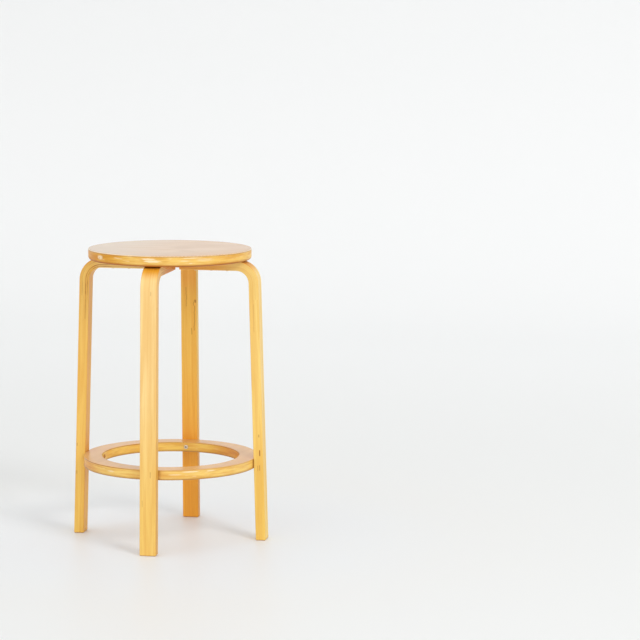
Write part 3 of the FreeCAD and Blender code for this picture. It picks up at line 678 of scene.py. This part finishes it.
def ring_veneer(name, seed):
    """A face veneer of the ring, whose edge looks like the plies under it."""
    graph = new_material(name)
    face, fibres = flat_grain(graph, 75, RING_FACE_LIGHT, RING_FACE_DARK, seed, 0.8)
    side = ring_side(graph, RING_VENEER_EDGE, seed + 2)[0]
    upright = graph.step(graph.facing_up(), 0.35, 0.8, 1.0, 0.0)
    base = graph.mix(upright, face, side)
    return graph.lacquered(base, fibres, 0.42, coat=0.5)


def raw_wood(name):
    """Unlacquered birch inside the seat."""
    graph = new_material(name)
    base, fibres = flat_grain(graph, 0, CORE_LIGHT, CORE_DARK, 30.0)
    return graph.lacquered(base, fibres, 0.7, coat=0.0)


dress(seat_veneer("seat_top_birch", 20, 1.0), "seat_top_veneer")
dress(seat_veneer("seat_bottom_birch", 20, 14.0), "seat_bottom_veneer")
dress(band_wood(), "seat_edge_band")
dress(raw_wood("core_birch"), "seat_core")
dress(ring_core(), "footrest_core")
dress(ring_veneer("ring_top_birch", 21.0), "footrest_top_veneer")
dress(ring_veneer("ring_bottom_birch", 27.0), "footrest_bottom_veneer")


# Pins and screws.

ZINC_LIGHT = colour(246, 236, 222)
ZINC_DARK = colour(212, 196, 176)
# Painted shade inside a screw's socket and round its head.
SOCKET_SHADE = colour(40, 26, 16)
# Painted shade where the left ring screw sits in the ring's shaded inner corner.
CORNER_SHADE = colour(196, 132, 52)


def screw_head(graph, base, azimuth, level, corner_shade):
    """The head of a ring screw, with painted shade inside its socket and round its rim."""
    x, y, z = graph.place()
    across = graph.turned(x, y, azimuth)[1]
    off = graph.distance(across, graph.minus(z, level))
    socket = graph.step(off, SOCKET_RADIUS - 0.3 * MM, SOCKET_RADIUS, 1.0, 0.0)
    rim = graph.step(off, HEAD_RADIUS, HEAD_RADIUS + 0.6 * MM, 0.0, 0.45)
    base = graph.mix(graph.math("MAXIMUM", socket, rim), base, SOCKET_SHADE)
    return graph.mix(corner_shade, base, CORNER_SHADE)


def zinc(name, ring_screw=None):
    """Plated steel, dull with age. A ring screw has an azimuth, a height and some painted shade."""
    graph = new_material(name)
    x, y, z = graph.place()
    cloud = graph.noise(graph.scaled(x, y, z, 900, 900, 900), 3, 0.6, 0.0, 1.0)
    base = graph.mix(graph.step(cloud, 0.3, 0.7), ZINC_LIGHT, ZINC_DARK)
    if ring_screw:
        base = screw_head(graph, base, *ring_screw)
    bump = graph.add("ShaderNodeBump", {"Strength": 0.4, "Distance": 0.03 * MM, "Height": cloud})
    return graph.finish(graph.add("ShaderNodeBsdfPrincipled", {
        "Base Color": base,
        "Metallic": 0.7,
        "Roughness": 0.42,
        "Normal": bump.outputs["Normal"],
    }))


plain_zinc = zinc("zinc_plated_steel")
dress(plain_zinc, "seat_band_brads")
for side, azimuth in LEGS.items():
    dress(plain_zinc, f"{side}_leg_screws")
    low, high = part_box(f"{side}_footrest_screw")
    level = (low.z + high.z) / 2
    # Only the left ring screw gets painted shade, in the ring's inner corner.
    corner_shade = 0.9 if side == "left" else 0.0
    steel = zinc(f"{side}_ring_screw_steel", (azimuth, level, corner_shade))
    dress(steel, f"{side}_footrest_screw")


# Floor: a pale sheet that sweeps up behind the stool, painted a little lighter there to stand in for
# light.

FLOOR_NEAR = colour(239, 240, 239)
FLOOR_FAR = colour(248, 249, 249)
FLOOR_UNDER = colour(238, 243, 248)
FLOOR_HIGH = colour(242, 243, 243)


def floor_paint():
    """The floor's material, with painted light: lighter far away, a little darker where it rises,
    and bluish under the stool against the warm light that the legs throw on it.
    """
    graph = new_material("pale_floor")
    x, y, z = graph.place()
    base = graph.mix(graph.step(y, 0.8, 3.6), FLOOR_NEAR, FLOOR_FAR)
    under = graph.step(graph.distance(x, y), 0.15, 0.75, 1.0, 0.0)
    base = graph.mix(under, base, FLOOR_UNDER)
    base = graph.mix(graph.step(z, 0.1, 1.3), base, FLOOR_HIGH)
    return graph.finish(graph.add("ShaderNodeBsdfPrincipled", {
        "Base Color": base,
        "Roughness": 0.42,
        "Specular IOR Level": 0.3,
    }))


def make_stage():
    """The floor: level from front to back, then a quarter round of radius sweep, then upright."""
    half_width, front, back, sweep, top = 12.0, -9.0, 3.4, 1.6, 6.0
    outline = [(front, 0.0), (back, 0.0)]
    steps = 16
    for step in range(1, steps + 1):
        angle = math.pi / 2 * step / steps
        outline.append((back + sweep * math.sin(angle), sweep * (1 - math.cos(angle))))
    outline.append((back + sweep, top))
    mesh = bmesh.new()
    rows = [[mesh.verts.new((x, y, z)) for x in (-half_width, half_width)] for y, z in outline]
    for lower, upper in zip(rows, rows[1:]):
        mesh.faces.new((lower[0], lower[1], upper[1], upper[0])).smooth = True
    data = bpy.data.meshes.new("floor")
    mesh.to_mesh(data)
    mesh.free()
    data.materials.append(floor_paint())
    floor = bpy.data.objects.new("floor", data)
    bpy.context.scene.collection.objects.link(floor)


make_stage()


# Soft studio light: one large lamp at the front right, in a bright room.

LAMP_PLACE = Vector((5.71, -5.05, 5.63))
LAMP_TARGET = Vector((0.0, 0.0, 0.3))
LAMP_SIDE = 2.6
LAMP_POWER = 240

# The room's light by direction: an axis, its range, and the strength at both ends of it. It is
# dimmer from behind and from the right.
ROOM_LIGHT = (
    ("Y", -1.0, 0.2, 1.01, 0.72),
    ("X", 0.0, 1.0, 1.0, 0.65),
    ("Z", 0.0, 1.0, 1.08, 1.12),
)


def make_lamp():
    """The large lamp, which gives the soft shadows on the floor."""
    data = bpy.data.lights.new("key", "AREA")
    data.shape = "SQUARE"
    data.size = LAMP_SIDE
    data.energy = LAMP_POWER
    lamp = bpy.data.objects.new("key", data)
    lamp.location = LAMP_PLACE
    lamp.rotation_euler = (LAMP_TARGET - LAMP_PLACE).to_track_quat("-Z", "Y").to_euler()
    bpy.context.scene.collection.objects.link(lamp)


def make_room():
    """The room's even light, and colours shown as they are."""
    world = bpy.data.worlds.new("studio")
    graph = Graph(world)
    direction = graph.add("ShaderNodeTexCoord").outputs["Generated"]
    parts = graph.add("ShaderNodeSeparateXYZ", {0: direction}).outputs
    strengths = [
        graph.add("ShaderNodeMapRange", {
            "Value": parts[axis],
            "From Min": low,
            "From Max": high,
            "To Min": at_low,
            "To Max": at_high,
        }).outputs["Result"]
        for axis, low, high, at_low, at_high in ROOM_LIGHT
    ]
    background = graph.add("ShaderNodeBackground", {
        "Color": (1.0, 1.0, 1.0, 1.0),
        "Strength": graph.times(*strengths),
    })
    graph.add("ShaderNodeOutputWorld", {"Surface": background.outputs["Background"]})
    bpy.context.scene.world = world
    bpy.context.scene.view_settings.view_transform = "Standard"


make_lamp()
make_room()


# Camera: it stands to the right of the front leg, at 1.22 m, and looks down a little.

CAMERA_PLACE = Vector((1.2908, -5.4475, 1.2202))
CAMERA_TURN = math.radians(9.9128)
CAMERA_PITCH = math.radians(7.4436)
CAMERA_ROLL = math.radians(0.2654)
FOCAL_LENGTH_MM = 142.26
SENSOR_MM = 36.0

camera_data = bpy.data.cameras.new("camera")
camera_data.lens = FOCAL_LENGTH_MM
camera_data.sensor_width = SENSOR_MM
camera = bpy.data.objects.new("camera", camera_data)
level_view = Euler((math.pi / 2 - CAMERA_PITCH, 0.0, CAMERA_TURN), "XYZ").to_matrix().to_4x4()
rolled = Matrix.Rotation(CAMERA_ROLL, 4, "Z")
camera.matrix_world = Matrix.Translation(CAMERA_PLACE) @ level_view @ rolled
bpy.context.scene.collection.objects.link(camera)
bpy.context.scene.camera = camera
